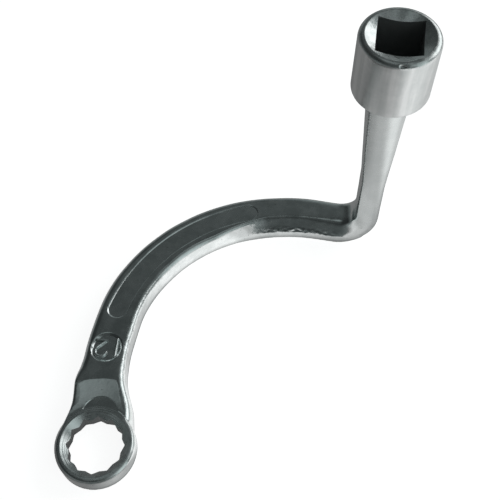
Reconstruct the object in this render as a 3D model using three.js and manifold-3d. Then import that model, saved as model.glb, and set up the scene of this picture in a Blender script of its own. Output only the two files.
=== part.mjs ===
// Offset ring spanner for turbocharger bolts: a 12-point ring on a C-shaped forged shank that turns up
// into a stem, and a square-drive socket on top of the stem that takes a ratchet or an extension.
// Millimetres, +Z up. The spanner lies on the flat underside of its shank; the ring and the socket
// share the direction +Z, and the neck runs from the ring along +Y.

import * as THREE from 'three';
import { mergeVertices } from 'three/addons/utils/BufferGeometryUtils.js';
import Module from 'manifold-3d';

const wasm = await Module();
wasm.setup();

// Ring head
const BOLT_FLATS = 12;            // across the flats of the bolt head it turns
const RING_PLAY = 0.1;            // added across the flats so that the ring slips on
const RING_WALL = 2.5;            // from the hole's corners to the outside of the ring
const RING_HEIGHT = 5.8;
const RING_EDGE = 0.6;            // bevel on the ring's outer edges
const LEAD_IN = 0.7;              // the lead-in cone opens this far past the hole's corners
const LEDGE = 1.8;                // flat ledge left round the ring inside the dish of the neck

// Shank
const SHANK_HEIGHT = 6.5;
const NECK_WIDTH = 11.1;          // at the ring, without the flare
const BEND_WIDTH = 10;            // at the far end, where the shank turns up
const SHANK_EDGE = 1.5;           // rounding along the shank's four edges
const NECK_LENGTH = 22.4;         // ring centre to the start of the main arc
const FLARE = 7.4;                // extra neck width right at the ring
const ARC_RADIUS = 44;            // middle line of the main arc
const ARC_SWEEP = THREE.MathUtils.degToRad(94);
const TAIL_LENGTH = 20;           // end of the main arc to the axis of the stem
const DISH_REACH = 15.8;          // the dish over the neck reaches this far from the ring's centre

// Bend and stem
const BEND_INNER = 3;             // inside radius where the shank turns up
const STEM_DEPTH = 6.2;           // along the tail, at the foot of the stem
const STEM_TOP_WIDTH = 11;
const STEM_TOP_DEPTH = 10.6;
const STEM_TOP_EDGE = 4.2;        // the stem's corners grow to this rounding under the socket
const FLARE_START = 24;           // height where the stem begins to widen
const SPIGOT_R = 4.1;             // round end of the stem inside the socket
const SPIGOT_LENGTH = 3;

// Socket
const DRIVE_SQUARE = 9.6;         // for a 3/8 inch square
const SOCKET_R = 8.9;
const SOCKET_LENGTH = 16;
const SOCKET_TOP = 71.3;          // height of the rim over the underside
const SOCKET_EDGE = 0.5;          // bevel on the rim and on the base edge
const RIM_LAND = 0.6;             // flat land between the rim's bevel and the countersink
const COUNTERSINK_SLOPE = 0.45;   // drop per millimetre toward the axis

// Marks on the shank's upper face
const SIZE_R = 3.6;               // round recess that holds the size number
const SIZE_PLACE = 24.4;          // its centre, from the ring's centre
const SIZE_DEPTH = 0.5;
const DIGIT_HEIGHT = 3.8;
const DIGIT_STROKE = 0.6;
const DIGIT_RAISE = 0.4;
const PANEL_WIDTH = 5.2;          // long recessed panel along the arc, left bare
const PANEL_DEPTH = 0.4;
const PANEL_FROM = THREE.MathUtils.degToRad(13.4);
const PANEL_TO = THREE.MathUtils.degToRad(81.4);

// Joint between stem and socket
const JOINT_GAP = 0.3;            // clearance between neighbouring pieces
const WELD_REACH = 1.1;           // width of the dressed weld on the socket's base
const WELD_HEIGHT = 1.4;

// Fineness of the curved surfaces
const CORNER_STEPS = 4;
const NECK_STEPS = 10;
const ARC_STEPS = 36;
const BEND_STEPS = 8;
const STEM_STEPS = 8;
const ROUND_STEPS = 48;
const PAST = 1;                   // cutters run this far past the face they open

// Sizes that follow from the ones above
const holeFlats = BOLT_FLATS + RING_PLAY;
const holeCorner = holeFlats / Math.sqrt(3);
const ringR = holeCorner + RING_WALL;
const bendR = BEND_INNER + SHANK_HEIGHT / 2;
const arcLength = ARC_RADIUS * ARC_SWEEP;
const tailStraight = TAIL_LENGTH - bendR;
const arcEnd = new THREE.Vector3(
  ARC_RADIUS * (1 - Math.cos(ARC_SWEEP)),
  NECK_LENGTH + ARC_RADIUS * Math.sin(ARC_SWEEP),
  0,
);
const tailAlong = new THREE.Vector3(Math.sin(ARC_SWEEP), Math.cos(ARC_SWEEP), 0);
const stemAxis = arcEnd.clone().addScaledVector(tailAlong, TAIL_LENGTH);
const socketBase = SOCKET_TOP - SOCKET_LENGTH;
const stemTop = socketBase - JOINT_GAP;
const up = new THREE.Vector3(0, 0, 1);

// Solid modelling helpers

function toSolid(geometry) {
  const plain = geometry.clone();
  plain.deleteAttribute('normal');
  plain.deleteAttribute('uv');
  const welded = mergeVertices(plain, 1e-4);
  const corners = welded.getIndex().array;
  const place = welded.getAttribute('position');
  const kept = [];
  let volume = 0;
  const a = new THREE.Vector3();
  const b = new THREE.Vector3();
  const c = new THREE.Vector3();
  for (let i = 0; i < corners.length; i += 3) {
    const [p, q, r] = [corners[i], corners[i + 1], corners[i + 2]];
    if (p === q || q === r || r === p) continue;
    kept.push(p, q, r);
    a.fromBufferAttribute(place, p);
    b.fromBufferAttribute(place, q);
    c.fromBufferAttribute(place, r);
    volume += a.dot(b.cross(c));
  }
  if (volume < 0) kept.reverse();
  return new wasm.Manifold(new wasm.Mesh({
    numProp: 3,
    vertProperties: new Float32Array(place.array),
    triVerts: new Uint32Array(kept),
  }));
}

function toGeometry(solid) {
  const mesh = solid.getMesh();
  const geometry = new THREE.BufferGeometry();
  geometry.setAttribute('position', new THREE.Float32BufferAttribute(mesh.vertProperties, 3));
  geometry.setIndex(Array.from(mesh.triVerts));
  geometry.computeVertexNormals();
  return geometry;
}

// Joins loops of equally many points into one closed skin. An open run is capped at both ends,
// a closed run joins its last loop to its first.
function loft(loops, closed) {
  const count = loops[0].length;
  const places = [];
  const faces = [];
  for (const loop of loops) for (const point of loop) places.push(point.x, point.y, point.z);
  const runs = closed ? loops.length : loops.length - 1;
  for (let i = 0; i < runs; i += 1) {
    const here = i * count;
    const next = ((i + 1) % loops.length) * count;
    for (let j = 0; j < count; j += 1) {
      const k = (j + 1) % count;
      faces.push(here + j, here + k, next + k, here + j, next + k, next + j);
    }
  }
  if (!closed) {
    for (const [loop, start, flip] of [
      [loops[0], 0, true],
      [loops[loops.length - 1], (loops.length - 1) * count, false],
    ]) {
      const middle = new THREE.Vector3();
      for (const point of loop) middle.addScaledVector(point, 1 / count);
      const hub = places.length / 3;
      places.push(middle.x, middle.y, middle.z);
      for (let j = 0; j < count; j += 1) {
        const k = (j + 1) % count;
        if (flip) faces.push(hub, start + k, start + j);
        else faces.push(hub, start + j, start + k);
      }
    }
  }
  const geometry = new THREE.BufferGeometry();
  geometry.setAttribute('position', new THREE.Float32BufferAttribute(places, 3));
  geometry.setIndex(faces);
  return geometry;
}

// A rectangle with rounded corners, as points round its edge.
function section(width, depth, edge) {
  const points = [];
  const corners = [[1, 1], [-1, 1], [-1, -1], [1, -1]];
  corners.forEach(([sx, sy], quarter) => {
    for (let i = 0; i <= CORNER_STEPS; i += 1) {
      const angle = (quarter + i / CORNER_STEPS) * Math.PI / 2;
      points.push(new THREE.Vector2(
        sx * (width / 2 - edge) + edge * Math.cos(angle),
        sy * (depth / 2 - edge) + edge * Math.sin(angle),
      ));
    }
  });
  return points;
}

function loopAt(centre, side, rise, points) {
  return points.map((point) => centre.clone()
    .addScaledVector(side, point.x)
    .addScaledVector(rise, point.y));
}

// The spigot's round section, with as many points as the stem's.
function roundSection(radius) {
  return section(2 * radius, 2 * radius, radius * 0.98);
}

function turned(profile) {
  const geometry = new THREE.LatheGeometry(profile.map(([r, z]) => new THREE.Vector2(r, z)), ROUND_STEPS);
  return geometry.rotateX(Math.PI / 2);
}

function prism(shape, from, to) {
  const geometry = new THREE.ExtrudeGeometry(shape, {
    depth: to - from,
    bevelEnabled: false,
    curveSegments: ROUND_STEPS / 2,
  });
  return geometry.translate(0, 0, from);
}

function polygon(points) {
  return new THREE.Shape(points.map(([x, y]) => new THREE.Vector2(x, y)));
}

// Shank: sections carried along the neck, the main arc, the tail, the bend and the stem

function shankWidth(along) {
  const toBend = NECK_LENGTH + arcLength + tailStraight;
  const taper = NECK_WIDTH + (BEND_WIDTH - NECK_WIDTH) * along / toBend;
  const toRing = Math.max(0, 1 - along / NECK_LENGTH);
  return taper + FLARE * toRing ** 1.4;
}

function shankLoops() {
  const loops = [];
  const middle = SHANK_HEIGHT / 2;
  const flatLoop = (along, place, side) => loops.push(loopAt(
    place.setZ(middle), side, up, section(shankWidth(along), SHANK_HEIGHT, SHANK_EDGE),
  ));
  const neckFrom = ringR / 4;
  for (let i = 0; i < NECK_STEPS; i += 1) {
    const along = neckFrom + (NECK_LENGTH - neckFrom) * i / NECK_STEPS;
    flatLoop(along, new THREE.Vector3(0, along, 0), new THREE.Vector3(-1, 0, 0));
  }
  for (let i = 0; i <= ARC_STEPS; i += 1) {
    const angle = ARC_SWEEP * i / ARC_STEPS;
    const outward = new THREE.Vector3(-Math.cos(angle), Math.sin(angle), 0);
    const place = new THREE.Vector3(ARC_RADIUS, NECK_LENGTH, 0).addScaledVector(outward, ARC_RADIUS);
    flatLoop(NECK_LENGTH + ARC_RADIUS * angle, place, outward);
  }
  const outward = new THREE.Vector3(-Math.cos(ARC_SWEEP), Math.sin(ARC_SWEEP), 0);
  const bendStart = arcEnd.clone().addScaledVector(tailAlong, tailStraight);
  for (let i = 0; i <= BEND_STEPS; i += 1) {
    const turn = (Math.PI / 2) * i / BEND_STEPS;
    const rise = up.clone().multiplyScalar(Math.cos(turn)).addScaledVector(tailAlong, -Math.sin(turn));
    const place = bendStart.clone().setZ(middle + bendR).addScaledVector(rise, -bendR);
    const depth = SHANK_HEIGHT + (STEM_DEPTH - SHANK_HEIGHT) * i / BEND_STEPS;
    loops.push(loopAt(place, outward, rise, section(BEND_WIDTH, depth, SHANK_EDGE)));
  }
  const toStem = tailAlong.clone().negate();
  for (let i = 0; i <= STEM_STEPS; i += 1) {
    const open = i / STEM_STEPS;
    const height = FLARE_START + (stemTop - FLARE_START) * open;
    loops.push(loopAt(stemAxis.clone().setZ(height), outward, toStem, stemSection(open)));
  }
  for (const height of [stemTop, stemTop + SPIGOT_LENGTH]) {
    loops.push(loopAt(stemAxis.clone().setZ(height), outward, toStem, roundSection(SPIGOT_R)));
  }
  return loops;
}

// The stem's section between the start of its flare (0) and the underside of the socket (1).
function stemSection(open, extra = 0) {
  const mix = (a, b) => a + (b - a) * open;
  return section(
    mix(BEND_WIDTH, STEM_TOP_WIDTH) + 2 * extra,
    mix(STEM_DEPTH, STEM_TOP_DEPTH) + 2 * extra,
    mix(SHANK_EDGE, STEM_TOP_EDGE) + extra,
  );
}

// Ring: a bevelled disc whose 12-point hole and lead-in cones are cut later

function ringDisc() {
  return turned([
    [0, 0],
    [ringR - RING_EDGE, 0],
    [ringR, RING_EDGE],
    [ringR, RING_HEIGHT - RING_EDGE],
    [ringR - RING_EDGE, RING_HEIGHT],
    [0, RING_HEIGHT],
  ]);
}

function twelvePoint() {
  const points = [];
  const notch = holeFlats / 2 / Math.cos(Math.PI / 12);
  for (let i = 0; i < 24; i += 1) {
    const radius = i % 2 ? notch : holeCorner;
    const angle = i * Math.PI / 12;
    points.push([radius * Math.cos(angle), radius * Math.sin(angle)]);
  }
  return prism(polygon(points), -PAST, SHANK_HEIGHT + PAST);
}

function leadIn(face, outside) {
  const wide = holeCorner + LEAD_IN;
  return turned([
    [0, face + outside * PAST],
    [wide + PAST, face + outside * PAST],
    [0, face - outside * wide],
  ]);
}

// The dish turned into the neck round the ring: flat over the ring, then rising to the shank's face.
function dish() {
  const ledge = ringR + LEDGE;
  const profile = [[0, RING_HEIGHT], [ledge, RING_HEIGHT]];
  const steps = 6;
  for (let i = 1; i <= steps; i += 1) {
    const open = i / steps;
    profile.push([
      ledge + (DISH_REACH - ledge) * open,
      RING_HEIGHT + (SHANK_HEIGHT - RING_HEIGHT) * open * open,
    ]);
  }
  profile.push([DISH_REACH, SHANK_HEIGHT + PAST], [0, SHANK_HEIGHT + PAST]);
  return turned(profile);
}

// Marks: a round recess with the raised size number, and a bare panel along the arc

function roundRecess() {
  const shape = new THREE.Shape();
  shape.absarc(0, SIZE_PLACE, SIZE_R, 0, 2 * Math.PI, false);
  return prism(shape, SHANK_HEIGHT - SIZE_DEPTH, SHANK_HEIGHT + PAST);
}

function panelRecess() {
  const from = Math.PI - PANEL_FROM;
  const to = Math.PI - PANEL_TO;
  const half = PANEL_WIDTH / 2;
  const endAt = (angle) => [
    ARC_RADIUS + ARC_RADIUS * Math.cos(angle),
    NECK_LENGTH + ARC_RADIUS * Math.sin(angle),
  ];
  const inset = half / ARC_RADIUS;
  const shape = new THREE.Shape();
  shape.absarc(ARC_RADIUS, NECK_LENGTH, ARC_RADIUS + half, from - inset, to + inset, true);
  shape.absarc(...endAt(to + inset), half, to + inset, to + inset - Math.PI, true);
  shape.absarc(ARC_RADIUS, NECK_LENGTH, ARC_RADIUS - half, to + inset, from - inset, false);
  shape.absarc(...endAt(from - inset), half, from - inset + Math.PI, from - inset, true);
  return prism(shape, SHANK_HEIGHT - PANEL_DEPTH, SHANK_HEIGHT + PAST);
}

// The figures stand in the recess with their feet toward the main arc.
function sizeNumber() {
  const floor = SHANK_HEIGHT - SIZE_DEPTH;
  const half = DIGIT_HEIGHT / 2;
  const stroke = DIGIT_STROKE / 2;
  const bowl = DIGIT_HEIGHT * 0.26;
  const oneAt = -DIGIT_HEIGHT * 0.3;
  const twoAt = DIGIT_HEIGHT * 0.24;
  const bar = (x0, y0, x1, y1) => {
    const length = Math.hypot(x1 - x0, y1 - y0);
    const dx = (x1 - x0) / length * stroke;
    const dy = (y1 - y0) / length * stroke;
    return polygon([[x0 - dy, y0 + dx], [x0 + dy, y0 - dx], [x1 + dy, y1 - dx], [x1 - dy, y1 + dx]]);
  };
  const hook = new THREE.Shape();
  const start = THREE.MathUtils.degToRad(165);
  const end = THREE.MathUtils.degToRad(-40);
  hook.absarc(twoAt, half - bowl, bowl + stroke, start, end, true);
  hook.absarc(twoAt, half - bowl, bowl - stroke, end, start, false);
  const knee = [twoAt + bowl * Math.cos(end), half - bowl + bowl * Math.sin(end)];
  const strokes = [
    bar(oneAt, -half, oneAt, half),
    bar(oneAt, half - stroke, oneAt - DIGIT_HEIGHT * 0.2, half - DIGIT_HEIGHT * 0.2),
    hook,
    bar(...knee, twoAt - bowl, -half + stroke),
    bar(twoAt - bowl - stroke, -half + stroke, twoAt + bowl + stroke, -half + stroke),
  ];
  return strokes.map((shape) => prism(shape, floor - PAST, floor + DIGIT_RAISE)
    .rotateZ(Math.PI)
    .translate(0, SIZE_PLACE, 0));
}

function forgedShank() {
  let solid = toSolid(loft(shankLoops(), false)).add(toSolid(ringDisc()));
  for (const cutter of [
    dish(),
    twelvePoint(),
    leadIn(RING_HEIGHT, 1),
    leadIn(0, -1),
    roundRecess(),
    panelRecess(),
  ]) solid = solid.subtract(toSolid(cutter));
  for (const stroke of sizeNumber()) solid = solid.add(toSolid(stroke));
  return toGeometry(solid);
}

// Socket: a turned sleeve with a countersunk square through it, counterbored for the stem's spigot

function driveSocket() {
  const body = turned([
    [0, socketBase],
    [SOCKET_R - SOCKET_EDGE, socketBase],
    [SOCKET_R, socketBase + SOCKET_EDGE],
    [SOCKET_R, SOCKET_TOP - SOCKET_EDGE],
    [SOCKET_R - SOCKET_EDGE, SOCKET_TOP],
    [0, SOCKET_TOP],
  ]);
  const half = DRIVE_SQUARE / 2;
  const boreFloor = stemTop + SPIGOT_LENGTH;
  const square = prism(
    polygon([[half, half], [-half, half], [-half, -half], [half, -half]]),
    boreFloor,
    SOCKET_TOP + PAST,
  );
  const mouth = SOCKET_R - SOCKET_EDGE - RIM_LAND;
  const countersink = turned([
    [0, SOCKET_TOP - mouth * COUNTERSINK_SLOPE],
    [mouth, SOCKET_TOP],
    [mouth, SOCKET_TOP + PAST],
    [0, SOCKET_TOP + PAST],
  ]);
  const bore = turned([
    [0, socketBase - PAST],
    [SPIGOT_R + JOINT_GAP, socketBase - PAST],
    [SPIGOT_R + JOINT_GAP, boreFloor + JOINT_GAP],
    [0, boreFloor + JOINT_GAP],
  ]);
  let solid = toSolid(body);
  for (const cutter of [square, countersink, bore]) solid = solid.subtract(toSolid(cutter));
  return toGeometry(solid);
}

// Weld: a dressed bead in the corner between the stem and the socket's base

function weldFillet() {
  const top = socketBase - JOINT_GAP;
  const bottom = top - WELD_HEIGHT;
  const waist = top - WELD_HEIGHT / 3;
  const outward = new THREE.Vector3(-Math.cos(ARC_SWEEP), Math.sin(ARC_SWEEP), 0);
  const toStem = tailAlong.clone().negate();
  const ring = (height, extra) => loopAt(
    stemAxis.clone().setZ(height), outward, toStem, stemSection(1, JOINT_GAP + extra),
  );
  const loops = [
    ring(bottom, 0),
    ring(top, 0),
    ring(top, WELD_REACH),
    ring(waist, WELD_REACH / 2),
    ring(bottom, WELD_REACH / 4),
  ];
  return toGeometry(toSolid(loft(loops, true)));
}

// The whole spanner, with the middle of its footprint over the origin

function piece(name, geometry, colour, roughness) {
  const material = new THREE.MeshStandardMaterial({ color: colour, roughness, metalness: 1 });
  const mesh = new THREE.Mesh(geometry, material);
  mesh.name = name;
  return mesh;
}

const shank = piece('forged_shank', forgedShank(), 0x8f9493, 0.24);
const socket = piece('drive_socket', driveSocket(), 0xa9adad, 0.3);
socket.position.set(stemAxis.x, stemAxis.y, 0);
socket.rotation.z = Math.PI / 2 - ARC_SWEEP;
const weld = piece('weld_fillet', weldFillet(), 0xa0a5a4, 0.34);

const farthest = Math.max(stemAxis.y + SOCKET_R, NECK_LENGTH + ARC_RADIUS + BEND_WIDTH / 2);
const spanner = new THREE.Group();
spanner.name = 'turbo_spanner';
spanner.position.set(-(stemAxis.x + SOCKET_R - ringR) / 2, -(farthest - ringR) / 2, 0);
spanner.add(shank, socket, weld);

const whole = new THREE.Group();
whole.name = 'turbo_wrench';
whole.add(spanner);

export default whole;
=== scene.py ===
from math import atan2, cos, exp, pi, radians, sin, sqrt, tan

import bmesh
import bpy
from mathutils import Euler, Matrix, Vector, noise


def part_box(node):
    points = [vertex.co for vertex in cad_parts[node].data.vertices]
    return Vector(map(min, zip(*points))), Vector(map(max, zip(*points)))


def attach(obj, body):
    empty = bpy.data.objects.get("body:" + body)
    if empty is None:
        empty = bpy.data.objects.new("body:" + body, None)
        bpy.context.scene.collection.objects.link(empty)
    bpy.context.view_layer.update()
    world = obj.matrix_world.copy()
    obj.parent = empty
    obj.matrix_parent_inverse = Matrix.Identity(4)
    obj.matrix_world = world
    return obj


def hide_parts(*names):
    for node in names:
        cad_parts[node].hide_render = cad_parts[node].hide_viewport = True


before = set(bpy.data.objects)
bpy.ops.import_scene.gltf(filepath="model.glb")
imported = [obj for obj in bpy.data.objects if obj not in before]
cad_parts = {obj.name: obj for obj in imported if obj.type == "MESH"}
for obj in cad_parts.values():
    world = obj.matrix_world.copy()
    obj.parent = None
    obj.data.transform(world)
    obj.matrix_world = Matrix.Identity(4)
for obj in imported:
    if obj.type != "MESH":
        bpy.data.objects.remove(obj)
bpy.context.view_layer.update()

# Camera. It looks down on the spanner from the ring's side, about a quarter of a metre away, with the
# lens that puts the ring at the lower left of a square frame and the socket's rim at its upper right.
MM = 0.001
scene = bpy.context.scene
scene.view_settings.view_transform = "Standard"
camera_data = bpy.data.cameras.new("photo_camera")
camera_data.sensor_width = 36
camera_data.lens = 56.5
camera_data.clip_start = 0.005
camera_data.clip_end = 10
camera = bpy.data.objects.new("photo_camera", camera_data)
camera.location = Vector((6.05, -91.48, 184.11)) * MM
camera.rotation_euler = Euler((radians(32.378), radians(0.608), radians(0.980)))
scene.collection.objects.link(camera)
scene.camera = camera


# Floor. A white sheet of paper that fills every view. The camera sees it white, with the spanner's faint
# shadow. The chrome mirrors it as a glowing grey sheet with painted light and painted shadow, graded by
# place: painted light inside the C and on the right, and painted shadow close under the metal.
class Shade:
    """A socket in a material's node tree. Sums and products of values add Math nodes."""

    def __init__(self, tree, socket):
        self.tree = tree
        self.socket = socket

    def node(self, kind, settings=None, inputs=None, output=0):
        """Adds a node, sets its settings, then fills its sockets with values or links."""
        made = self.tree.nodes.new(kind)
        for name, value in (settings or {}).items():
            setattr(made, name, value)
        for key, value in (inputs or {}).items():
            if isinstance(value, Shade):
                self.tree.links.new(value.socket, made.inputs[key])
            else:
                made.inputs[key].default_value = value
        return Shade(self.tree, made.outputs[output])

    def maths(self, operation, first, second=0.0):
        return self.node("ShaderNodeMath", {"operation": operation}, {0: first, 1: second})

    def __add__(self, other):
        return self.maths("ADD", self, other)

    def __radd__(self, other):
        return self.maths("ADD", other, self)

    def __sub__(self, other):
        return self.maths("SUBTRACT", self, other)

    def __rsub__(self, other):
        return self.maths("SUBTRACT", other, self)

    def __mul__(self, other):
        return self.maths("MULTIPLY", self, other)

    def __rmul__(self, other):
        return self.maths("MULTIPLY", other, self)

    def step(self, low, high):
        """0 below low, 1 above high and smooth between them."""
        return self.node("ShaderNodeMapRange", {"interpolation_type": "SMOOTHSTEP"},
                         {"Value": self, "From Min": low, "From Max": high})

    def parts(self, vector):
        """The three values of a vector."""
        split = self.node("ShaderNodeSeparateXYZ", None, {0: vector}).socket.node
        return [Shade(self.tree, split.outputs[i]) for i in range(3)]

    def distance(self, vector, centre):
        """How far a place is from a centre."""
        return self.node("ShaderNodeVectorMath", {"operation": "DISTANCE"}, {0: vector, 1: centre}, 1)

    def texture(self, vector, scale, detail, roughness=0.5):
        """Noise over a place, between 0 and 1."""
        return self.node("ShaderNodeTexNoise", None, {
            "Vector": vector, "Scale": scale, "Detail": detail, "Roughness": roughness})

    def blend(self, first, second):
        """Mixes two colours, with this value as the share of the second."""
        return self.node("ShaderNodeMix", {"data_type": "RGBA"}, {0: self, 6: first, 7: second}, 2)


def new_material(name):
    """An empty node material, as its tree wrapped for expressions and its output socket."""
    material = bpy.data.materials.new(name)
    material.use_nodes = True
    tree = material.node_tree
    tree.nodes.clear()
    output = tree.nodes.new("ShaderNodeOutputMaterial")
    return material, Shade(tree, None), output.inputs["Surface"]


FLOOR_SIZE = 3.0
FLOOR_DROP = 0.02 * MM
C_CENTRE = Vector((10.8, -9.8, 0)) * MM
RING_CENTRE = Vector((-33.2, -32.2, 0)) * MM
CAMERA_LEVEL = 0.89
MIRROR_LEVEL = 0.205
RIGHT_LEVEL = 0.46
BY_RING_DIM = 0.1
INSIDE_C_LEVEL = 0.8
TAIL_DIM = 0.5
BEND_DIM = 0.35
NECK_DIM = 0.55
FAR_DIM = 0.6
STEM_LEVEL = 0.16
STEM_GAIN = 0.1
C_LEVEL = 0.14
C_RIGHT_DIM = 0.08
RING_RIGHT_LEVEL = 0.27
LEFT_LEVEL = 0.15
HOLE_DIM = 0.55
CONTACT_LEVEL = 0.45
PAPER_DARK = (0.84, 0.84, 0.84, 1)
PAPER_LIGHT = (0.88, 0.88, 0.88, 1)
WHITE = (1, 1, 1, 1)
floor_mesh = bmesh.new()
bmesh.ops.create_grid(floor_mesh, x_segments=1, y_segments=1, size=FLOOR_SIZE,
                      matrix=Matrix.Translation((0, 0, -FLOOR_DROP)))
floor_data = bpy.data.meshes.new("paper_floor")
floor_mesh.to_mesh(floor_data)
floor_mesh.free()
floor = bpy.data.objects.new("paper_floor", floor_data)
scene.collection.objects.link(floor)
paper, shade, surface = new_material("white_paper")
place = shade.node("ShaderNodeTexCoord", output="Object")
to_right, to_far = shade.parts(place)[:2]
from_c = shade.distance(place, C_CENTRE)
from_ring = shade.distance(place, RING_CENTRE)
ray_length = shade.node("ShaderNodeLightPath", output="Ray Length")
# Painted light and painted shadow on the sheet that the chrome mirrors, set by place and by the length of
# the ray that meets it: painted shadow close under the metal, in the ring's hole and left of the ring, and
# painted pools of light inside the C, beside the ring, left of the neck, at the front and on the right.
close_by = 1 - ray_length.step(15 * MM, 45 * MM)
in_hole = 1 - from_ring.step(6.5 * MM, 8.5 * MM)
clear_of_metal = ray_length.step(0.3 * MM, 3 * MM)
shaded = (CONTACT_LEVEL + clear_of_metal * (1 - CONTACT_LEVEL)) * (1 - in_hole * HOLE_DIM)
by_tail = to_right.step(-3 * MM, 5 * MM) * TAIL_DIM + to_right.step(10 * MM, 26 * MM) * BEND_DIM
by_neck = NECK_DIM - to_right.step(-27 * MM, -15 * MM) * NECK_DIM
inside_c = (1 - from_c.step(39 * MM, 42 * MM)) * (1 - by_tail - by_neck)
left_floor = (1 - to_right.step(-60 * MM, -42 * MM)) * to_far.step(-30 * MM, -15 * MM)
ring_right = (to_right.step(-36 * MM, -26 * MM) * (1 - from_ring.step(14 * MM, 26 * MM))
              * from_ring.step(8.5 * MM, 9.5 * MM))
right_light = to_right.step(38 * MM, 66 * MM) * (1 - to_far.step(160 * MM, 320 * MM))
far_side = 1 - to_far.step(200 * MM, 450 * MM) * FAR_DIM
front_light = to_right.step(-20 * MM, 40 * MM) * (1 - to_far.step(15 * MM, 40 * MM))
below_stem = to_far.step(-35 * MM, -20 * MM) * STEM_GAIN + STEM_LEVEL
by_ring = (1 - to_right.step(-55 * MM, -42 * MM)) * (1 - to_far.step(-30 * MM, -15 * MM))
c_fade = C_LEVEL - to_right.step(-12 * MM, 12 * MM) * C_RIGHT_DIM
in_c = (1 - from_c.step(25 * MM, 40 * MM)) * c_fade
floor_light = (MIRROR_LEVEL + front_light * below_stem + right_light * RIGHT_LEVEL + in_c
               - by_ring * BY_RING_DIM)
lit_side = floor_light * far_side
near_light = close_by * (inside_c * INSIDE_C_LEVEL + ring_right * RING_RIGHT_LEVEL
                         + left_floor * LEFT_LEVEL)
reflected = shade.maths("MINIMUM", lit_side + near_light, 1.0) * shaded
camera_ray = shade.node("ShaderNodeLightPath", output="Is Camera Ray")
glossy_ray = shade.node("ShaderNodeLightPath", output="Is Glossy Ray")
fibre = shade.texture(place, 900.0, 2.0)
tint = fibre.blend(PAPER_DARK, PAPER_LIGHT)
lit = shade.node("ShaderNodeBsdfDiffuse", None, {"Color": tint})
whitened = shade.node("ShaderNodeEmission", None, {"Color": WHITE, "Strength": camera_ray * CAMERA_LEVEL})
sheet = shade.node("ShaderNodeAddShader", None, {0: lit, 1: whitened})
# Glossy rays see this painted glow, with its painted light and shadow, in place of the lit paper.
mirrored = shade.node("ShaderNodeEmission", None, {"Color": WHITE, "Strength": reflected})
both = shade.node("ShaderNodeMixShader", None, {0: glossy_ray, 1: sheet, 2: mirrored})
shade.tree.links.new(both.socket, surface)
floor_data.materials.append(paper)

# Light. One wide softbox low on the right, in a dim and slightly cool room that the camera sees as white.
# The room's level changes with direction, darkest overhead and low on the left and lightest at the front
# right, and that gives the chrome its soft bands.
ROOM_LEVEL = 0.225
ROOM_TINT = (0.88, 1, 1, 1)
RIGHT_GLOW = 0.15
NEAR_GLOW = 0.14
FRONT_GLOW = 0.36
LOW_RIGHT_GLOW = 0.45
TAIL_GLOW = 0.09
OVERHEAD_DIM = 0.169
LEFT_DIM = 0.03
FAR_GLOW = 0.02
FRONT_DIM = 0.4
LOW_LEFT_DIM = 0.45
SOFTBOX_SIZE = (0.9, 0.45)
SOFTBOX_LEVEL = 0.98
SOFTBOX_PLACE = (0.6, 0.39, 0.36)
world = bpy.data.worlds.new("studio_room")
world.use_nodes = True
scene.world = world
room = world.node_tree
room.nodes.clear()
sky = Shade(room, None)
to_right, to_far, to_top = sky.parts(sky.node("ShaderNodeTexCoord", output="Object"))
card_gap = to_right.step(-0.06, 0.0) * (1 - to_right.step(0.13, 0.18))
middle = to_right.step(-0.45, 0.05) * (1 - card_gap) * (1 - to_right.step(0.0, 0.5))
near_side = middle * to_far.step(-0.45, -0.05) * (1 - to_far.step(0.1, 0.27))
right_side = to_right.step(0.35, 0.7) * to_far.step(0.0, 0.3) * (1 - to_far.step(0.75, 0.92))
far_glow = to_far.step(0.45, 0.6) * (1 - to_far.step(0.62, 0.8))
left_gloom = 1 - to_right.step(-0.5, -0.2)
right_low = to_right.step(0.55, 0.75) * (1 - to_far.step(-0.4, -0.2)) * (1 - to_top.step(0.35, 0.6))
front_glow = to_right.step(0.3, 0.6) * (1 - to_far.step(-0.2, 0.05)) * to_top.step(0.3, 0.55)
tail_glow = to_right.step(0.0, 0.1) * (1 - to_right.step(0.25, 0.4)) * to_far.step(0.6, 0.85)
left_low = (1 - to_right.step(-0.6, -0.35)) * to_far.step(-0.7, -0.3) * (1 - to_top.step(0.4, 0.6))
front_card = (1 - to_far.step(-0.85, -0.65)) * (1 - to_right.step(0.25, 0.45))
overhead = to_top.step(0.0, 0.5) * (OVERHEAD_DIM + left_gloom * LEFT_DIM - far_glow * FAR_GLOW)
level = (ROOM_LEVEL + right_side * RIGHT_GLOW + near_side * NEAR_GLOW + front_glow * FRONT_GLOW
         + right_low * LOW_RIGHT_GLOW)
level = level - overhead * (1 - near_side) * (1 - right_side)
level = level * (1 - front_card * FRONT_DIM - left_low * LOW_LEFT_DIM) + tail_glow * TAIL_GLOW
lit_room = sky.node("ShaderNodeBackground", None, {"Color": ROOM_TINT, "Strength": level})
white_room = sky.node("ShaderNodeBackground", None, {"Color": WHITE, "Strength": 1.0})
room_camera = sky.node("ShaderNodeLightPath", output="Is Camera Ray")
seen_room = sky.node("ShaderNodeMixShader", None, {0: room_camera, 1: lit_room, 2: white_room})
room_out = room.nodes.new("ShaderNodeOutputWorld")
room.links.new(seen_room.socket, room_out.inputs["Surface"])

softbox_data = bpy.data.lights.new("right_softbox", "AREA")
softbox_data.shape = "RECTANGLE"
softbox_data.size, softbox_data.size_y = SOFTBOX_SIZE
softbox_data.energy = SOFTBOX_LEVEL * pi * SOFTBOX_SIZE[0] * SOFTBOX_SIZE[1]
softbox = bpy.data.objects.new("right_softbox", softbox_data)
softbox.location = SOFTBOX_PLACE
softbox.rotation_euler = softbox.location.to_track_quat("Z", "Y").to_euler()
scene.collection.objects.link(softbox)

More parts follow.
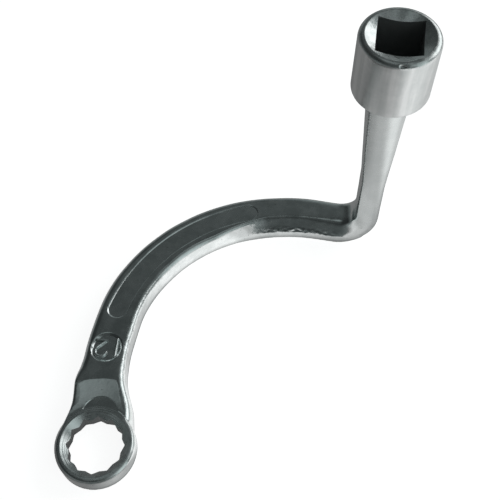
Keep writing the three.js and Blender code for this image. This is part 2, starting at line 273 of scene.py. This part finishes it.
# Forged shank. Ring head, dished neck, C-shaped shank, bend and stem are one drop forging in alloy steel,
# with trimmed and tumbled edges, turned round the ring, broached through it, and chrome plated.
BOLT_FLATS = 12.1 * MM
RING_WALL = 2.5 * MM
RING_HEIGHT = 5.8 * MM
RING_EDGE = 0.7 * MM
LEAD_IN = 1.05 * MM
LAND_R = 9.1 * MM
DISH_FLOOR = 5.66 * MM
DISH_REACH = 15.8 * MM
DISH_CUT = 0.14 * MM
LEDGE = 0.2 * MM
RAMP_GAP = 0.5 * MM
RAMP_CURVE = 1.2
HOLLOW_OFFSET = Vector((0.4, 7.2, 0)) * MM
HOLLOW_R = 4.4 * MM
HOLLOW_FLOOR = 5.5 * MM
HOLLOW_EDGE = 0.1 * MM
HOLLOW_FLARE = 0.3 * MM
SHANK_HEIGHT = 6.5 * MM
OUTER_EDGE = 2.2 * MM
OUTER_EDGES = ((0, 0.6), (15.5, 0.6), (19, 2.0), (120, 2.2))
INNER_EDGE = 0.8 * MM
BOTTOM_EDGE = 0.5 * MM
STEM_CREASE = 0.9 * MM
CREASE_GROWTH = 1.5 * MM
STEM_FRONT_EDGE = 2.4 * MM
INNER_EDGES = ((0, 2.3), (15, 2.3), (22, 1.6), (62, 1.7), (86, 0.8), (120, 0.8))
INNER_LEAN = ((0, 0.0), (71, 0.0), (87, 2.8), (120, 2.8))
LEAN_DEPTH = 3.8 * MM
STEM_FACET = 2.2 * MM
STEM_LEAN = 1.5 * MM
NECK_WIDTH = 11.1 * MM
BEND_WIDTH = 10.0 * MM
NECK_LENGTH = 22.4 * MM
NECK_FLARE = 7.4 * MM
FLARE_CURVE = 1.4
ARC_RADIUS = 44.0 * MM
ARC_SWEEP = radians(94)
TAIL_LENGTH = 20.0 * MM
BEND_INNER = 4.0 * MM
STEM_DEPTH = 6.2 * MM
STEM_TOP_WIDTH = 11.0 * MM
STEM_TOP_DEPTH = 10.6 * MM
STEM_TOP_EDGE = 4.2 * MM
STEM_TOP_FRONT = 6.0 * MM
FLARE_START = 24.0 * MM
STEM_OVERLAP = 0.3 * MM
SWAY = ((9, 3.5, -0.45), (17, 4, 0.5), (31, 6, -0.4), (97, 6, 0.35), (109, 6, -0.45))
SHANK_GRAIN = 0.27 * MM
TUMBLE_PASSES = 4
DRESS_PASSES = 80
DRESS_ABOVE = 1 * MM
DRESS_FADE = 4 * MM
DRESS_BEND = 8 * MM
DRESS_FLOOR = 3 * MM
SHARP_EDGE = radians(34)
PAST = 1.0 * MM

shank_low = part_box("forged_shank")[0]
socket_low, socket_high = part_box("drive_socket")
hole_corner = BOLT_FLATS / sqrt(3)
ring_r = hole_corner + RING_WALL
ring_at = Vector((shank_low.x + ring_r, shank_low.y + ring_r, 0))
stem_at = (socket_low + socket_high) / 2
stem_at.z = 0
arc_centre = ring_at + Vector((ARC_RADIUS, NECK_LENGTH, 0))
arc_length = ARC_RADIUS * ARC_SWEEP
bend_r = BEND_INNER + SHANK_HEIGHT / 2
tail_straight = TAIL_LENGTH - bend_r
tail_along = Vector((sin(ARC_SWEEP), cos(ARC_SWEEP), 0))
up = Vector((0, 0, 1))


def add_object(name, bm):
    """Closes a bmesh into an object of its own, with its faces pointing out."""
    bmesh.ops.remove_doubles(bm, verts=bm.verts, dist=1e-7)
    bmesh.ops.recalc_face_normals(bm, faces=bm.faces)
    data = bpy.data.meshes.new(name)
    bm.to_mesh(data)
    bm.free()
    made = bpy.data.objects.new(name, data)
    scene.collection.objects.link(made)
    return made


def section_loop(bm, centre, side, rise, width, height, edges, lean, depth=LEAN_DEPTH, steps=6):
    """The edges of one rounded rectangle across the path. edges are the roundings of its four corners:
    outer top, inner top, inner bottom and outer bottom. Above depth the inner wall leans back by lean."""
    ring = []
    for quarter, (sx, sy) in enumerate(((1, 1), (-1, 1), (-1, -1), (1, -1))):
        edge = edges[quarter]
        tilt = atan2(lean, depth) if quarter == 1 else 0.0
        shift = tan(tilt) * depth + edge * ((1 - sin(tilt)) / cos(tilt) - 1)
        for i in range(steps + 1):
            angle = quarter * pi / 2 + (pi / 2 - tilt) * i / steps
            across = sx * (width / 2 - edge) + edge * cos(angle) + shift
            above = sy * (height / 2 - edge) + edge * sin(angle)
            ring.append(bm.verts.new(centre + side * across + rise * above))
        if quarter == 1:
            ring.append(bm.verts.new(centre - side * width / 2 + rise * (height / 2 - depth)))
    return [bm.edges.new((ring[i - 1], ring[i])) for i in range(len(ring))]


def carried(name, bm, loops):
    """Bridges the loops one after another and closes both ends."""
    for before, after in zip(loops, loops[1:]):
        bmesh.ops.bridge_loops(bm, edges=before + after)
    for end in (loops[0], loops[-1]):
        bmesh.ops.contextual_create(bm, geom=end)
    return add_object(name, bm)


def turned(name, profile, centre, steps=96):
    """A body of revolution about an upright axis through centre."""
    bm = bmesh.new()
    ring = [bm.verts.new(centre + Vector((r, 0, z))) for r, z in profile]
    edges = [bm.edges.new((ring[i], ring[i + 1])) for i in range(len(ring) - 1)]
    bmesh.ops.spin(bm, geom=ring + edges, cent=centre, axis=up, angle=2 * pi, steps=steps, use_merge=True)
    return add_object(name, bm)


def prism(name, outline, low, high):
    """An upright block on a closed outline of points."""
    bm = bmesh.new()
    face = bm.faces.new([bm.verts.new((x, y, low)) for x, y in outline])
    top = bmesh.ops.extrude_face_region(bm, geom=[face])["geom"]
    risen = [v for v in top if isinstance(v, bmesh.types.BMVert)]
    bmesh.ops.translate(bm, vec=up * (high - low), verts=risen)
    return add_object(name, bm)


def apply_modifiers(target):
    """Makes a piece's modifiers part of its mesh."""
    graph = bpy.context.evaluated_depsgraph_get()
    target.data = bpy.data.meshes.new_from_object(target.evaluated_get(graph))
    target.modifiers.clear()


def combine(target, others, operation):
    """Joins or cuts target with other bodies, which are used up."""
    for other in others:
        modifier = target.modifiers.new(operation.lower(), "BOOLEAN")
        modifier.operation = operation
        modifier.solver = "MANIFOLD"
        modifier.object = other
        apply_modifiers(target)
        bpy.data.objects.remove(other)


def shade_round(target, crease):
    """Smooth shading that keeps the edges that are sharper than crease."""
    bm = bmesh.new()
    bm.from_mesh(target.data)
    for face in bm.faces:
        face.smooth = True
    for edge in bm.edges:
        edge.smooth = edge.calc_face_angle(0) < crease
    bm.to_mesh(target.data)
    bm.free()


def shank_width(along):
    """The shank's width, which tapers to the bend and flares out into the ring."""
    taper = NECK_WIDTH + (BEND_WIDTH - NECK_WIDTH) * along / (NECK_LENGTH + arc_length + tail_straight)
    return taper + NECK_FLARE * max(0.0, 1 - along / NECK_LENGTH) ** FLARE_CURVE


def read_table(table, along):
    """A size that changes along the shank, from a table of distances and sizes in millimetres."""
    for (start, first), (stop, second) in zip(table, table[1:]):
        if along <= stop * MM:
            return (first + (second - first) * (along / MM - start) / (stop - start)) * MM


def shank_path(along):
    """The shank's middle line and its outer side at a distance from the ring's centre. The hand-bent
    neck sways a little off the true line before and after it runs into the arc."""
    sway = sum(size * MM * exp(-((along / MM - middle) / spread) ** 2) for middle, spread, size in SWAY)
    if along < NECK_LENGTH:
        outer = Vector((-1, 0, 0))
        return ring_at + Vector((0, along, 0)) + outer * sway, outer
    angle = min((along - NECK_LENGTH) / ARC_RADIUS, ARC_SWEEP)
    outer = Vector((-cos(angle), sin(angle), 0))
    rest = max(0.0, along - NECK_LENGTH - arc_length)
    return arc_centre + outer * (ARC_RADIUS + sway) + tail_along * rest, outer


def dish_height(reach):
    """The height of the dished neck at a distance from the ring's centre."""
    share = max(0.0, (reach - LAND_R - RAMP_GAP) / (DISH_REACH - LAND_R - RAMP_GAP))
    return DISH_FLOOR + (SHANK_HEIGHT - DISH_FLOOR) * share ** RAMP_CURVE


def forged_blank():
    """The shank from the ring to the underside of the socket, before the ring is joined to it."""
    bm = bmesh.new()
    loops = []
    neck_from = ring_r / 4
    flat_run = NECK_LENGTH + arc_length + tail_straight
    runs = 120
    for i in range(runs + 1):
        along = neck_from + (flat_run - neck_from) * i / runs
        place, outer = shank_path(along)
        edges = (read_table(OUTER_EDGES, along), read_table(INNER_EDGES, along), BOTTOM_EDGE, BOTTOM_EDGE)
        lean = read_table(INNER_LEAN, along)
        height = min(SHANK_HEIGHT, dish_height(along) + DISH_CUT)
        loops.append(section_loop(bm, place + up * height / 2, outer, up, shank_width(along), height,
                                  edges, lean))
    bend_from, outer = shank_path(flat_run)
    hub = bend_from + up * (SHANK_HEIGHT / 2 + bend_r)
    turns = 16
    for i in range(1, turns + 1):
        turn = pi / 2 * i / turns
        rise = up * cos(turn) - tail_along * sin(turn)
        depth = SHANK_HEIGHT + (STEM_DEPTH - SHANK_HEIGHT) * i / turns
        share = i / turns
        front = BOTTOM_EDGE + (STEM_FRONT_EDGE - BOTTOM_EDGE) * share
        back = BOTTOM_EDGE + (OUTER_EDGE - BOTTOM_EDGE) * share
        edges = (OUTER_EDGE, INNER_EDGE + (STEM_CREASE - INNER_EDGE) * share, front, back)
        facet = LEAN_DEPTH + (STEM_FACET - LEAN_DEPTH) * share
        loops.append(section_loop(bm, hub - rise * bend_r, outer, rise, BEND_WIDTH, depth, edges,
                                  lean + (STEM_LEAN - lean) * share, facet))
    stem_top = socket_low.z + STEM_OVERLAP
    steps = 24
    for i in range(steps + 1):
        share = i / steps
        height = FLARE_START + (stem_top - FLARE_START) * share
        width = BEND_WIDTH + (STEM_TOP_WIDTH - BEND_WIDTH) * share
        depth = STEM_DEPTH + (STEM_TOP_DEPTH - STEM_DEPTH) * share
        round_edge = OUTER_EDGE + (STEM_TOP_EDGE - OUTER_EDGE) * share
        crease = STEM_CREASE + CREASE_GROWTH * share
        front = STEM_FRONT_EDGE + (STEM_TOP_FRONT - STEM_FRONT_EDGE) * share
        edges = (round_edge, crease, front, round_edge)
        loops.append(section_loop(bm, stem_at + up * height, outer, -tail_along, width, depth, edges,
                                  STEM_LEAN, STEM_FACET))
    return carried("forged_shank_skin", bm, loops)


def dish():
    """The relief turned round the ring: its land, a fine ledge and a hollow ramp up the neck."""
    profile = [(0, RING_HEIGHT), (LAND_R, RING_HEIGHT), (LAND_R + LEDGE, DISH_FLOOR)]
    ramp_from = LAND_R + RAMP_GAP
    steps = 18
    for i in range(steps + 2):
        reach = ramp_from + (DISH_REACH - ramp_from) * i / steps
        profile.append((reach, dish_height(reach)))
    profile += [(profile[-1][0], SHANK_HEIGHT + PAST), (0, SHANK_HEIGHT + PAST)]
    return turned("dish", profile, ring_at, 160)


def hollow():
    """The flat that the cutter leaves at the foot of the ramp, with a short steep edge."""
    profile = [(0, HOLLOW_FLOOR), (HOLLOW_R - HOLLOW_EDGE, HOLLOW_FLOOR),
               (HOLLOW_R, HOLLOW_FLOOR + HOLLOW_EDGE),
               (HOLLOW_R + HOLLOW_FLARE, SHANK_HEIGHT + PAST), (0, SHANK_HEIGHT + PAST)]
    cutter = turned("hollow", profile, ring_at + HOLLOW_OFFSET, 120)
    land = [(0, 0), (LAND_R, 0), (LAND_R, SHANK_HEIGHT + 2 * PAST), (0, SHANK_HEIGHT + 2 * PAST)]
    combine(cutter, [turned("land", land, ring_at, 160)], "DIFFERENCE")
    return cutter


def twelve_points():
    """The outline of the broached hole."""
    notch = BOLT_FLATS / 2 / cos(pi / 12)
    radii = [hole_corner if i % 2 == 0 else notch for i in range(24)]
    return [(ring_at.x + r * cos(i * pi / 12), ring_at.y + r * sin(i * pi / 12))
            for i, r in enumerate(radii)]


def lead_in(name, face, outside):
    """The cone that leads the bolt's head into the hole."""
    wide = hole_corner + LEAD_IN
    profile = [(0, face + outside * PAST), (wide + PAST, face + outside * PAST), (0, face - outside * wide)]
    return turned(name, profile, ring_at, 128)


shank = forged_blank()
ring_disc = turned("ring_disc", [
    (0, 0),
    (ring_r - RING_EDGE, 0),
    (ring_r, RING_EDGE),
    (ring_r, RING_HEIGHT - RING_EDGE),
    (ring_r - RING_EDGE, RING_HEIGHT),
    (0, RING_HEIGHT),
], ring_at)
combine(shank, [ring_disc], "UNION")
skin = shank.modifiers.new("plated_skin", "REMESH")
skin.mode = "VOXEL"
skin.voxel_size = SHANK_GRAIN
tumbled = shank.modifiers.new("tumbled_edges", "SMOOTH")
tumbled.factor = 0.5
tumbled.iterations = TUMBLE_PASSES
apply_modifiers(shank)
stem_skin = shank.vertex_groups.new(name="stem_skin")
for vertex in shank.data.vertices:
    above = (vertex.co.z - SHANK_HEIGHT - DRESS_ABOVE) / DRESS_FADE
    in_bend = (vertex.co - stem_at).dot(tail_along) / DRESS_BEND + 2
    if vertex.co.z > DRESS_FLOOR and max(above, in_bend) > 0:
        stem_skin.add([vertex.index], min(1.0, max(above, in_bend)), "REPLACE")
dressed = shank.modifiers.new("dressed_stem", "SMOOTH")
dressed.factor = 0.5
dressed.iterations = DRESS_PASSES
dressed.vertex_group = "stem_skin"
apply_modifiers(shank)
shank.vertex_groups.clear()

# The forged faces are not quite flat. The trimmed parting line leaves the inner top edge rough by the neck,
# and a ragged line low on the inner wall where the arc runs into the tail.
FACE_WAVE = 0.05 * MM
EDGE_BURR = 0.11 * MM
WALL_BURR = 0.22 * MM
BURR_REACH = 2.5
EDGE_FROM = 4
EDGE_TO = 7.4
WALL_TO = 4.6
EDGE_INSET = 0.3 * MM
inner_r = ARC_RADIUS - NECK_WIDTH / 2 + EDGE_INSET
outward = [vertex.normal.copy() for vertex in shank.data.vertices]
for vertex, way_out in zip(shank.data.vertices, outward):
    spot = (vertex.co - arc_centre) / MM
    height = vertex.co.z / MM
    spot.z = 0
    wave = noise.noise(vertex.co * 170) * FACE_WAVE
    beside = spot.length - inner_r / MM
    if EDGE_FROM < height < EDGE_TO and spot.x < 24 and abs(beside) < BURR_REACH:
        band = exp(-((beside - 0.4) / 0.8) ** 2) * min(1.0, (height - EDGE_FROM) / 1.4)
        near_neck = max(0.0, min(1.0, (16 - spot.y) / 20)) if spot.y > -5 else 0.0
        wave += band * near_neck * noise.noise(vertex.co * 1200) * EDGE_BURR
    elif height < WALL_TO and abs(beside) < BURR_REACH and spot.y > 0:
        band = exp(-((height - 3.2) / 0.55) ** 2) * exp(-((spot.x - 4) / 9) ** 2)
        wave += band * noise.noise(vertex.co * 1100) * WALL_BURR
    vertex.co += way_out * wave
combine(shank, [dish(), hollow()], "DIFFERENCE")

# Marks on the shank. The size number stands up in a round recess, and a long, shallow, plain panel runs
# along the arc. Both are struck by the forging die. The ring and the neck have a small nick each.
SIZE_R = 3.9 * MM
SIZE_PLACE = Vector((0.2, 24.3, 0)) * MM
SIZE_DEPTH = 0.5 * MM
DIGIT_STROKE = 0.75 * MM
DIGIT_RAISE = 0.3 * MM
RECESS_SLOPE = 0.55 * MM
RECESS_LIP = 0.05 * MM
RECESS_SHOULDER = 0.2 * MM
PANEL_WIDTH = 5.2 * MM
PANEL_DEPTH = 0.22 * MM
PANEL_SLOPE = 0.22 * MM
PANEL_LIP = 0.06 * MM
PANEL_FROM = radians(13.4)
PANEL_TO = radians(81.4)


def arc_points(centre, radius, start, stop, steps):
    """Points on an arc, with angles counted from +X."""
    return [centre + radius * Vector((cos(a), sin(a), 0))
            for a in (start + (stop - start) * i / steps for i in range(steps + 1))]


def panel_outline(half):
    """A long slot with round ends along the main arc."""
    start = pi - PANEL_FROM - PANEL_WIDTH / 2 / ARC_RADIUS
    stop = pi - PANEL_TO + PANEL_WIDTH / 2 / ARC_RADIUS
    far_end = arc_points(arc_centre, ARC_RADIUS, stop, stop, 1)[0]
    near_end = arc_points(arc_centre, ARC_RADIUS, start, start, 1)[0]
    points = arc_points(arc_centre, ARC_RADIUS + half, start, stop, 60)
    points += arc_points(far_end, half, stop, stop - pi, 20)[1:-1]
    points += arc_points(arc_centre, ARC_RADIUS - half, stop, start, 60)
    return points + arc_points(near_end, half, start + pi, start, 20)[1:-1]


def panel():
    """The long recess, with walls that slope as the die's draft leaves them."""
    bm = bmesh.new()
    loops = []
    half = PANEL_WIDTH / 2
    for reach, z in ((half - PANEL_SLOPE, SHANK_HEIGHT - PANEL_DEPTH),
                     (half - PANEL_LIP, SHANK_HEIGHT - PANEL_DEPTH * 0.4),
                     (half + PANEL_SLOPE * 0.7, SHANK_HEIGHT),
                     (half + PANEL_SLOPE, SHANK_HEIGHT + PAST)):
        ring = [bm.verts.new(p + up * z) for p in panel_outline(reach)]
        loops.append([bm.edges.new((ring[i - 1], ring[i])) for i in range(len(ring))])
    return carried("panel_recess", bm, loops)


def ridge(name, path):
    """A raised stroke with a round back that follows points on the recess's floor."""
    bm = bmesh.new()
    loops = []
    half = DIGIT_STROKE / 2
    for i, point in enumerate(path):
        ahead = (path[min(i + 1, len(path) - 1)] - path[max(i - 1, 0)]).normalized()
        side = up.cross(ahead)
        ring = [bm.verts.new(point + side * half * cos(a) + up * half * sin(a))
                for a in (2 * pi * k / 12 for k in range(12))]
        loops.append([bm.edges.new((ring[k - 1], ring[k])) for k in range(12)])
    return carried(name, bm, loops)


def gouge(name, centre, turn, radii):
    """A small egg-shaped body that cuts a nick."""
    bm = bmesh.new()
    bmesh.ops.create_icosphere(bm, subdivisions=3, radius=MM, matrix=(
        Matrix.Translation(centre) @ Matrix.Rotation(turn, 4, "Z") @ Matrix.Diagonal((*radii, 1))))
    return add_object(name, bm)


def size_number():
    """The strokes of the number 12, which reads from the bend's side and leans along the neck."""
    floor_z = SHANK_HEIGHT - SIZE_DEPTH + DIGIT_RAISE
    one = [(2.95, -2.35), (2.15, -2.9), (2.5, 2.4)]
    two = [(-2.75, 2.05), (0.0, 1.85), (-1.4, 0.95), (-2.35, 0.2)]
    two += [(p.x, p.y) for p in arc_points(Vector((-1.45, -1.0, 0)), 1.4, radians(150), radians(355), 14)]
    strokes = []
    for name, path in (("figure_one", one), ("figure_two", two)):
        strokes.append(ridge(name, [Vector((x, y, 0)) * MM + size_at + up * floor_z for x, y in path]))
    return strokes


size_at = ring_at + SIZE_PLACE
size_profile = [(0, SHANK_HEIGHT - SIZE_DEPTH), (SIZE_R - RECESS_SLOPE, SHANK_HEIGHT - SIZE_DEPTH),
                (SIZE_R - RECESS_LIP, SHANK_HEIGHT - SIZE_DEPTH * 0.2),
                (SIZE_R + RECESS_SHOULDER, SHANK_HEIGHT),
                (SIZE_R + RECESS_SLOPE, SHANK_HEIGHT + PAST), (0, SHANK_HEIGHT + PAST)]
combine(shank, [
    prism("broach", twelve_points(), -PAST, SHANK_HEIGHT + PAST),
    lead_in("upper_lead_in", RING_HEIGHT, 1),
    lead_in("lower_lead_in", 0, -1),
    turned("size_recess", size_profile, size_at),
    panel(),
    gouge("ring_nick", ring_at + Vector((7.4, 6.5, 5.7)) * MM, radians(50), (0.9, 0.22, 0.35)),
    gouge("neck_nick", ring_at + Vector((-6.3, 14.6, 6.2)) * MM, radians(-10), (0.7, 0.3, 0.4)),
], "DIFFERENCE")
combine(shank, size_number(), "UNION")
shade_round(shank, SHARP_EDGE)

SHANK_DARK = (0.75, 0.79, 0.785, 1)
SHANK_LIGHT = (0.92, 0.955, 0.95, 1)
WORN_CHROME = (0.26, 0.28, 0.28, 1)
SHANK_RELIEF = 0.14 * MM
shank_chrome, shade, surface = new_material("shank_chrome")
place = shade.node("ShaderNodeTexCoord", output="Object")
level_place = shade.node("ShaderNodeVectorMath", {"operation": "MULTIPLY"}, {0: place, 1: (1, 1, 0)})
from_arc = shade.distance(level_place, arc_centre)
from_ring = shade.distance(level_place, ring_at)
to_right, to_far, height = shade.parts(place)
peel = shade.texture(place, 900.0, 3.0)
waves = shade.texture(place, 210.0, 2.0)
on_stem = height.step(7 * MM, 12 * MM)
mottle = shade.texture(place, 260.0, 5.0, 0.65).step(0.36, 0.66) * (1 - on_stem * 0.6)
pits = shade.texture(place, 1500.0, 2.0).step(0.68, 0.74) * (1 - on_stem)
tool_marks = shade.node("ShaderNodeTexNoise", {"noise_dimensions": "1D"}, {
    "W": from_ring, "Scale": 3600.0, "Detail": 2.0})
machined = 1 - from_ring.step(9.0 * MM, 9.2 * MM)
ends = 1 - to_far.step(4 * MM, 20 * MM) * (1 - to_right.step(2 * MM, 8 * MM))
parting = height + to_right.step(-4 * MM, 6 * MM) * (2.5 * MM)
trim = (from_arc.step(inner_r - 0.8 * MM, inner_r - 0.1 * MM)
        * (1 - from_arc.step(inner_r + 0.9 * MM, inner_r + 1.7 * MM))
        * parting.step(4.6 * MM, 5.4 * MM) * (1 - parting.step(6.7 * MM, 7.4 * MM)) * ends
        * to_far.step(arc_centre.y - 6 * MM, arc_centre.y - 3 * MM))
grit = shade.texture(place, 1500.0, 3.0, 0.7)
speckle = trim * grit.step(0.5, 0.64)
worn = shade.maths("MINIMUM", pits * 0.5 + speckle * 0.6, 1.0)
relief = (peel * (0.4 - on_stem * 0.34) + waves * (1.4 - on_stem * 1.2)
          + trim * grit * 1.2 + machined * tool_marks * 0.9)
bump = shade.node("ShaderNodeBump", None, {"Height": relief, "Strength": 0.3, "Distance": SHANK_RELIEF})
tint = mottle.blend(SHANK_DARK, SHANK_LIGHT)
chrome = shade.node("ShaderNodeBsdfPrincipled", None, {
    "Base Color": worn.blend(tint, WORN_CHROME),
    "Metallic": 1.0,
    "Roughness": 0.15 + mottle * 0.08 + worn * 0.2 + machined * 0.1 + on_stem * 0.1,
    "Normal": bump,
})
shade.tree.links.new(chrome.socket, surface)
shank.data.materials.clear()
shank.data.materials.append(shank_chrome)
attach(shank, "root")
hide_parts("forged_shank")

# Weld fillet. The dressed bead that joins the stem to the socket's base: a narrow ring of weld metal,
# ground smooth and plated over, so that it only shows as a soft band under the socket.
WELD_REACH = 1.1 * MM
WELD_HEIGHT = 1.6 * MM
WELD_OVERLAP = 0.05 * MM
WELD_SHARP = radians(40)
weld_mesh = bmesh.new()
weld_loops = []
outer = shank_path(NECK_LENGTH + arc_length + tail_straight)[1]
weld_steps = 10
for i in range(weld_steps + 1):
    share = i / weld_steps
    spread = WELD_REACH * (1 - sqrt(max(0.0, 1 - share ** 2)))
    height = socket_low.z - WELD_HEIGHT * (1 - share) + WELD_OVERLAP
    crease = STEM_CREASE + CREASE_GROWTH
    edges = [edge + spread for edge in (STEM_TOP_EDGE, crease, STEM_TOP_FRONT, STEM_TOP_EDGE)]
    weld_loops.append(section_loop(weld_mesh, stem_at + up * height, outer, -tail_along,
                                   STEM_TOP_WIDTH + 2 * spread, STEM_TOP_DEPTH + 2 * spread, edges,
                                   STEM_LEAN, STEM_FACET + spread))
weld = carried("weld_fillet_bead", weld_mesh, weld_loops)
shade_round(weld, WELD_SHARP)
weld.data.materials.append(shank_chrome)
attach(weld, "root")
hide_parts("weld_fillet")

# Drive socket. A sleeve turned from bar, with a countersunk square broached into its mouth for a ratchet
# or an extension, softly rounded edges, and satin chrome over fine turning marks.
SOCKET_R = 8.9 * MM
SOCKET_EDGE = 1.35 * MM
BASE_EDGE = 0.8 * MM
RIM_LAND = 0.1 * MM
MOUTH_EDGE = 0.1 * MM
MOUTH_DROP = 0.07 * MM
MOUTH_STEP = 1.0 * MM
COUNTERSINK_SLOPE = 0.45
DRIVE_SQUARE = 10.0 * MM
DRIVE_TURN = radians(-8)
SQUARE_DEPTH = 13.0 * MM
NICK_TURN = radians(-91)
NICK_SKEW = radians(75)
NICK_RADII = (1.05, 0.6, 0.5)
NICK_SINK = 0.15 * MM
NICK_DROP = 0.35 * MM
SOCKET_LEAN = radians(1.6)
SOCKET_DARK = (0.69, 0.725, 0.72, 1)
SOCKET_LIGHT = (0.96, 0.98, 0.975, 1)
# Painted shade colour for the socket's flat underside.
UNDERSIDE_PAINTED_SHADE = (0.22, 0.225, 0.225, 1)
# Painted shade colour for the deep square hole.
BORE_PAINTED_SHADE = (0.14, 0.145, 0.145, 1)
SOCKET_RELIEF = 0.1 * MM


def corner(r, z, edge, start, stop, steps=6):
    """Points of one rounded corner of a turned profile."""
    return [(r + edge * cos(a), z + edge * sin(a))
            for a in (start + (stop - start) * i / steps for i in range(steps + 1))]


rim = socket_high.z
mouth_r = SOCKET_R - SOCKET_EDGE - RIM_LAND
wall_steps = 12
base_top = socket_low.z + BASE_EDGE
wall_top = rim - SOCKET_EDGE
profile = [(0, socket_low.z)]
profile += corner(SOCKET_R - BASE_EDGE, base_top, BASE_EDGE, -pi / 2, 0)
profile += [(SOCKET_R, base_top + (wall_top - base_top) * i / wall_steps) for i in range(1, wall_steps)]
profile += corner(SOCKET_R - SOCKET_EDGE, wall_top, SOCKET_EDGE, 0, pi / 2)
profile += [(mouth_r + RIM_LAND / 2, rim), (mouth_r - MOUTH_EDGE, rim - MOUTH_DROP)]
profile += [(mouth_r - MOUTH_STEP, rim - MOUTH_STEP * COUNTERSINK_SLOPE),
            (0, rim - mouth_r * COUNTERSINK_SLOPE)]
socket = turned("drive_socket_sleeve", profile, stem_at, 192)

half = DRIVE_SQUARE / 2
square_turn = Matrix.Rotation(DRIVE_TURN, 3, "Z")
square = [square_turn @ Vector((x * half, y * half, 0)) + stem_at
          for x, y in ((1, 1), (-1, 1), (-1, -1), (1, -1))]
broach = prism("drive_square", [(p.x, p.y) for p in square], rim - SQUARE_DEPTH, rim + PAST)
combine(socket, [broach], "DIFFERENCE")

nick_r = SOCKET_R - NICK_SINK
nick_at = stem_at + Vector((nick_r * cos(NICK_TURN), nick_r * sin(NICK_TURN), rim - NICK_DROP))
combine(socket, [gouge("rim_nick", nick_at, NICK_TURN + NICK_SKEW, NICK_RADII)], "DIFFERENCE")
rim_at = stem_at + up * rim
lean_turn = Matrix.Rotation(SOCKET_LEAN, 4, "X")
socket.data.transform(Matrix.Translation(rim_at) @ lean_turn @ Matrix.Translation(-rim_at))
shade_round(socket, SHARP_EDGE)

socket_chrome, shade, surface = new_material("socket_chrome")
place = shade.node("ShaderNodeTexCoord", output="Object")
in_square = shade.node("ShaderNodeMapping", {"vector_type": "TEXTURE"}, {
    "Vector": place, "Location": rim_at, "Rotation": (SOCKET_LEAN, 0, DRIVE_TURN)})
square_x, square_y, below = shade.parts(in_square)
reach = shade.maths("MAXIMUM", shade.maths("ABSOLUTE", square_x), shade.maths("ABSOLUTE", square_y))
# Painted shade: the broached square below its mouth is coloured dark, rougher and not metallic, as the
# shade deep in the hole.
bore = (1 - reach.step(half - 0.02 * MM, half + 0.06 * MM)) * (1 - below.step(-0.6 * MM, -0.4 * MM))
mouth = below.step(-1.5 * MM, -1.0 * MM)
base_z = socket_low.z - rim
# Painted shade: the socket's flat underside is coloured darker and made rougher, as the shade under the
# socket.
under = 1 - below.step(base_z + 0.02 * MM, base_z + 0.1 * MM)
peel = shade.texture(place, 700.0, 3.0)
across_axis = shade.node("ShaderNodeVectorMath", {"operation": "MULTIPLY"}, {
    0: in_square, 1: (0.05, 0.05, 1)})
turning = shade.texture(across_axis, 5200.0, 2.0)
mottle = shade.texture(place, 330.0, 5.0, 0.6).step(0.36, 0.68)
along_axis = shade.node("ShaderNodeVectorMath", {"operation": "MULTIPLY"}, {0: place, 1: (1, 1, 0.08)})
streaks = shade.texture(along_axis, 420.0, 3.0)
relief = peel * (0.6 + mouth * 1.8) + turning * 0.12
bump = shade.node("ShaderNodeBump", None, {"Height": relief, "Strength": 0.22, "Distance": SOCKET_RELIEF})
grain = mottle * 0.3 + streaks.step(0.36, 0.64) * 0.7
tint = grain.blend(SOCKET_DARK, SOCKET_LIGHT)
chrome = shade.node("ShaderNodeBsdfPrincipled", None, {
    "Base Color": bore.blend(under.blend(tint, UNDERSIDE_PAINTED_SHADE), BORE_PAINTED_SHADE),
    "Metallic": 1 - bore,
    "Roughness": 0.32 + mottle * 0.07 - mouth * 0.08 + bore * 0.35 + under * 0.2,
    "Normal": bump,
})
shade.tree.links.new(chrome.socket, surface)
socket.data.materials.clear()
socket.data.materials.append(socket_chrome)
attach(socket, "root")
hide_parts("drive_socket")
